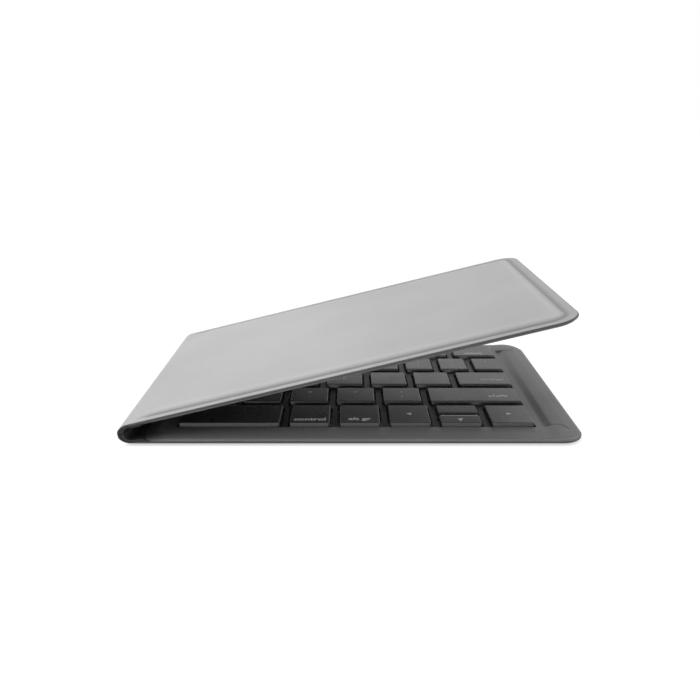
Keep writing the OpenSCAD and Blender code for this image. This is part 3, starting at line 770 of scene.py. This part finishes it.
def printed(text, height, width=None):
    """Flat letters as vertices in millimetres and faces, centred on the origin, drawn out to width."""
    curve = bpy.data.curves.new("type", "FONT")
    curve.body, curve.size, curve.extrude = text, height, INK_T / 2
    curve.align_x, curve.align_y, curve.resolution_u = "CENTER", "CENTER", 3
    curve.offset = 0.025 * height if len(text) > 1 else 0.0
    holder = bpy.data.objects.new("type", curve)
    mesh = bpy.data.meshes.new_from_object(holder)
    welded = bmesh.new()
    welded.from_mesh(mesh)
    bmesh.ops.remove_doubles(welded, verts=welded.verts, dist=1e-4)
    welded.verts.index_update()
    points = np.array([vertex.co[:] for vertex in welded.verts])
    faces = [[vertex.index for vertex in face.verts] for face in welded.faces]
    welded.free()
    bpy.data.meshes.remove(mesh)
    bpy.data.curves.remove(curve)
    points[:, 1] -= (points[:, 1].min() + points[:, 1].max()) / 2
    if width:
        points[:, 0] *= width / np.ptp(points[:, 0])
    return points, faces


def arrow(angle):
    """Small solid triangle that points along the angle."""
    flat = np.array([[1.1, 0], [-0.8, 0.95], [-0.8, -0.95]])
    turn = math.radians(angle)
    spun = flat @ np.array([[math.cos(turn), math.sin(turn)], [-math.sin(turn), math.cos(turn)]])
    points = np.array([[x, y, z] for z in (-INK_T / 2, INK_T / 2) for x, y in spun])
    return points, [[2, 1, 0], [3, 4, 5], [0, 1, 4, 3], [1, 2, 5, 4], [2, 0, 3, 5]]


def bar(x0, x1, y0, y1):
    """Fine straight line of ink."""
    points = np.array([[x, y, z] for z in (-INK_T / 2, INK_T / 2)
                       for x, y in ((x0, y0), (x1, y0), (x1, y1), (x0, y1))])
    return points, [[3, 2, 1, 0], [4, 5, 6, 7], [0, 1, 5, 4], [1, 2, 6, 5], [2, 3, 7, 6], [3, 0, 4, 7]]


def legend_pieces(name, marks, x0, x1, y0, y1, outer_side):
    """The marks of one key, placed in its plan: one in the middle, two one above the other, and a
    word near the front edge, or near the outer side on a wide key."""
    middle_x, middle_y = (x0 + x1) / 2, (y0 + y1) / 2
    if name in ARROWS:
        points, faces = arrow(ARROWS[name])
        pieces = [(points + [middle_x, middle_y, 0], faces)]
        if name == "down":
            pieces[0][0][:, 1] -= 0.5
            pieces.append(bar(x0 + 0.7, x1 - 0.7, y1 - 0.6, y1 - 0.25))
        return pieces
    if len(marks) == 2:
        pairs = [printed(mark, PAIR_H) for mark in marks]
        return [(points + [middle_x, middle_y + side * PAIR_APART * (y1 - y0), 0], faces)
                for side, (points, faces) in zip((1, -1), pairs)]
    if not marks:
        return []
    if len(marks[0]) == 1:
        points, faces = printed(marks[0], GLYPH_H)
        return [(points + [middle_x, middle_y, 0], faces)]
    width, margin = WORD_FIT.get(marks[0], (None, CAP_MARGIN))
    points, faces = printed(marks[0], WORD_H, width)
    x, y = middle_x, y0 + CAP_MARGIN
    if x1 - x0 > WIDE_CAP * (y1 - y0):
        half = (points[:, 0].max() - points[:, 0].min()) / 2
        x = x1 - margin - half if outer_side > 0 else x0 + margin + half
        y = middle_y - WORD_BELOW * (y1 - y0)
    return [(points + [x, y, 0], faces)]


def print_legends(name, body, pieces, place):
    """One object of ink from the pieces, each put in the row frame by place(points)."""
    points, faces, total = [], [], 0
    for piece, rings in pieces:
        points.append(place(piece))
        faces += [[total + i for i in ring] for ring in rings]
        total += len(piece)
    mesh = bpy.data.meshes.new(name)
    mesh.from_pydata(np.concatenate(points), [], faces)
    mesh.materials.append(LEGEND_INK_PAINTED_GLOW)
    obj = bpy.data.objects.new(name, mesh)
    bpy.context.scene.collection.objects.link(obj)
    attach(obj, body)


def caps_of(node):
    """Plan of each cap of a lid row, from the fold outwards: x0, x1, y0, y1 in the lid's own plan.
    Triangles whose stretches along x overlap belong to one cap."""
    points = np.empty(3 * len(node.data.vertices))
    node.data.vertices.foreach_get("co", points)
    points = points.reshape(-1, 3) / MM - [FOLD_X, -DEPTH / 2, 0]
    px, pz = turned(points[:, 0], points[:, 2], FOLD_Z, -FOLD_REST)
    px, pz = turned(px, pz, CLOSED_T - FOLD_Z, -FOLD_REST)
    corners = np.empty(len(node.data.loops), int)
    node.data.loops.foreach_get("vertex_index", corners)
    corners = corners.reshape(-1, 3)
    low, high = px[corners].min(axis=1), px[corners].max(axis=1)
    order = np.argsort(low)
    reach = np.maximum.accumulate(high[order])
    cuts = np.flatnonzero(low[order][1:] > reach[:-1] + CAP_GAP) + 1
    return [(low[cap].min(), high[cap].max(), points[corners[cap], 1].min(), points[corners[cap], 1].max())
            for cap in np.split(order, cuts)]


def base_legends():
    """Legends of the base's keys, one object for each key, which rides on it."""
    for name in NODES:
        if not name.startswith("key_"):
            continue
        key = name[4:]
        marks = BASE_LEGENDS.get(key, [key.upper()] if len(key) == 1 else [])
        low, high = box_mm(name)
        pieces = legend_pieces(key, marks, low[0], high[0], low[1], high[1], 1)
        if pieces:
            lift = np.array([0, 0, high[2] + INK_LIFT])
            print_legends("legend_" + key, name, pieces, lambda piece: (piece + lift) * MM)


def lid_legends():
    """Legends of the lid's keys, one object for each row. They are laid out for a reader who faces
    the open lid, so x runs the other way from the lid's own plan."""
    for row, marks_of_row in enumerate(LID_LEGENDS, 1):
        pieces = []
        for marks, (x0, x1, y0, y1) in zip(marks_of_row, caps_of(NODES["lid_keys_%d" % row])):
            pieces += legend_pieces("", marks, -x1, -x0, y0, y1, -1)
        print_legends("legend_lid_row_%d" % row, "lid_keys_%d" % row, pieces,
                      lambda piece: half_to_world(-piece[:, 0], piece[:, 1],
                                                  CAP_TOP + INK_LIFT + piece[:, 2], True, 0.0))


base_legends()
lid_legends()


# ---------------------------------------------------------------- studio

# Reach of the contact shade in millimetres, and the paper's brightness in it and far from it
CONTACT_SHADE = 1.15
PAPER_SHADED = 0.48
PAPER_OPEN = 1.06
# Share of the even glow in what the camera and the reflections see of the paper
PAPER_GLOW = 0.96


def mixed(owner, share, first, second):
    """Shader that is the first where share is 0 and the second where it is 1."""
    mix = add(owner, "ShaderNodeMixShader")
    for number, socket in enumerate((share, first, second)):
        join(owner, socket, mix.inputs[number])
    return mix.outputs["Shader"]


def paper_sweep():
    """White paper: it throws light back on the object, and the camera sees it near white, with a
    soft shade only where the object touches it."""
    material = bpy.data.materials.new("pale_paper_sweep")
    material.use_nodes = True
    material.node_tree.nodes.clear()
    paper = add(material, "ShaderNodeBsdfDiffuse", {"Color": (0.86, 0.86, 0.86, 1)})
    touch = add(material, "ShaderNodeAmbientOcclusion", {"Distance": CONTACT_SHADE * MM, "samples": 8})
    shade = add(material, "ShaderNodeMapRange", {"To Min": PAPER_SHADED, "To Max": PAPER_OPEN},
                Value=touch.outputs["AO"])
    glow = add(material, "ShaderNodeEmission", Strength=shade.outputs["Result"])
    rays = add(material, "ShaderNodeLightPath")
    seen = add(material, "ShaderNodeMath", {"operation": "MAXIMUM"})
    join(material, rays.outputs["Is Camera Ray"], seen.inputs[0])
    join(material, rays.outputs["Is Glossy Ray"], seen.inputs[1])
    part = add(material, "ShaderNodeMath", {"operation": "MULTIPLY", 1: PAPER_GLOW})
    join(material, seen.outputs["Value"], part.inputs[0])
    surface = mixed(material, part.outputs["Value"], paper.outputs["BSDF"], glow.outputs["Emission"])
    output = add(material, "ShaderNodeOutputMaterial")
    join(material, surface, output.inputs["Surface"])
    return material


def floor():
    """A wide flat sheet just under the part."""
    reach, drop = 3.0, -2e-5
    corners = np.array([[x * reach, y * reach, drop] for x, y in ((-1, -1), (1, -1), (1, 1), (-1, 1))])
    sheet = make_mesh("studio_floor", corners, np.array([[0, 1, 2, 3]]), [paper_sweep()])


AIM = (0, 0, 0.01)


def area_light(name, place, size, power, target=AIM):
    """Soft box of size metres at place, facing the target, with its power in watts."""
    lamp = bpy.data.lights.new(name, "AREA")
    lamp.shape = "RECTANGLE"
    lamp.size, lamp.size_y = size
    lamp.energy = power
    obj = bpy.data.objects.new(name, lamp)
    bpy.context.scene.collection.objects.link(obj)
    obj.location = place
    way = np.array(target) - np.array(place)
    obj.rotation_euler = Vector(way).to_track_quat("-Z", "Y").to_euler()


def world(ambient, mirrored):
    """White to the camera, bright in reflections, and a dim light from above for everything else."""
    air = bpy.data.worlds.new("studio_air")
    bpy.context.scene.world = air
    air.use_nodes = True
    air.node_tree.nodes.clear()
    rays = add(air, "ShaderNodeLightPath")
    place = add(air, "ShaderNodeTexCoord")
    parts = add(air, "ShaderNodeSeparateXYZ", Vector=place.outputs["Generated"])
    height = add(air, "ShaderNodeMapRange", {"From Min": 0.3, "From Max": 0.8}, Value=parts.outputs["Z"])
    dim = add(air, "ShaderNodeMath", {"operation": "MULTIPLY", 1: ambient})
    join(air, height.outputs["Result"], dim.inputs[0])
    above, bright, white = [add(air, "ShaderNodeBackground", {"Color": (1, 1, 1, 1), "Strength": strength})
                            for strength in (1.0, mirrored, 1.0)]
    join(air, dim.outputs["Value"], above.inputs["Strength"])
    lit = mixed(air, rays.outputs["Is Glossy Ray"], above.outputs["Background"], bright.outputs["Background"])
    seen = mixed(air, rays.outputs["Is Camera Ray"], lit, white.outputs["Background"])
    output = add(air, "ShaderNodeOutputWorld")
    join(air, seen, output.inputs["Surface"])


# Camera solved from the photograph's key rows and edges: its place from the fold and the front of
# the front row of caps in millimetres, pitch in degrees, focal length in pixels of the photograph
CAMERA_PLACE = (73.07, -217.2, 101.77)
CAMERA_PITCH = 18.389
FOCAL_PX = 706.2
FRAME_PX = 700
SENSOR_MM = 36.0


def camera():
    """Camera at the solved place, facing +Y and tilted down by the pitch."""
    data = bpy.data.cameras.new("studio_camera")
    data.sensor_width = SENSOR_MM
    data.lens = FOCAL_PX * SENSOR_MM / FRAME_PX
    data.clip_start = 0.01
    data.clip_end = 20
    obj = bpy.data.objects.new("studio_camera", data)
    bpy.context.scene.collection.objects.link(obj)
    x, y, z = CAMERA_PLACE
    obj.location = [(FOLD_X + x) * MM, (ROW_FRONT + y) * MM, z * MM]
    obj.rotation_euler = (math.radians(90 - CAMERA_PITCH), 0, 0)
    bpy.context.scene.camera = obj


camera()
floor()
world(ambient=0.24, mirrored=0.92)
area_light("left_softbox", place=(-0.32, 0.0, 0.48), size=(0.42, 0.4), power=1.35)
area_light("rear_softbox", place=(-0.2, 0.3, 0.3), size=(0.3, 0.3), power=0.5, target=(-0.02, 0, 0.01))
area_light("front_strip", place=(0.0, -0.7, 0.1), size=(0.6, 0.1), power=0.9)
area_light("front_softbox", place=(0.05, -0.3, 0.55), size=(0.4, 0.2), power=0.7)
area_light("right_fill", place=(0.6, -0.05, 0.22), size=(0.3, 0.2), power=0.8)
bpy.context.scene.view_settings.view_transform = "Standard"
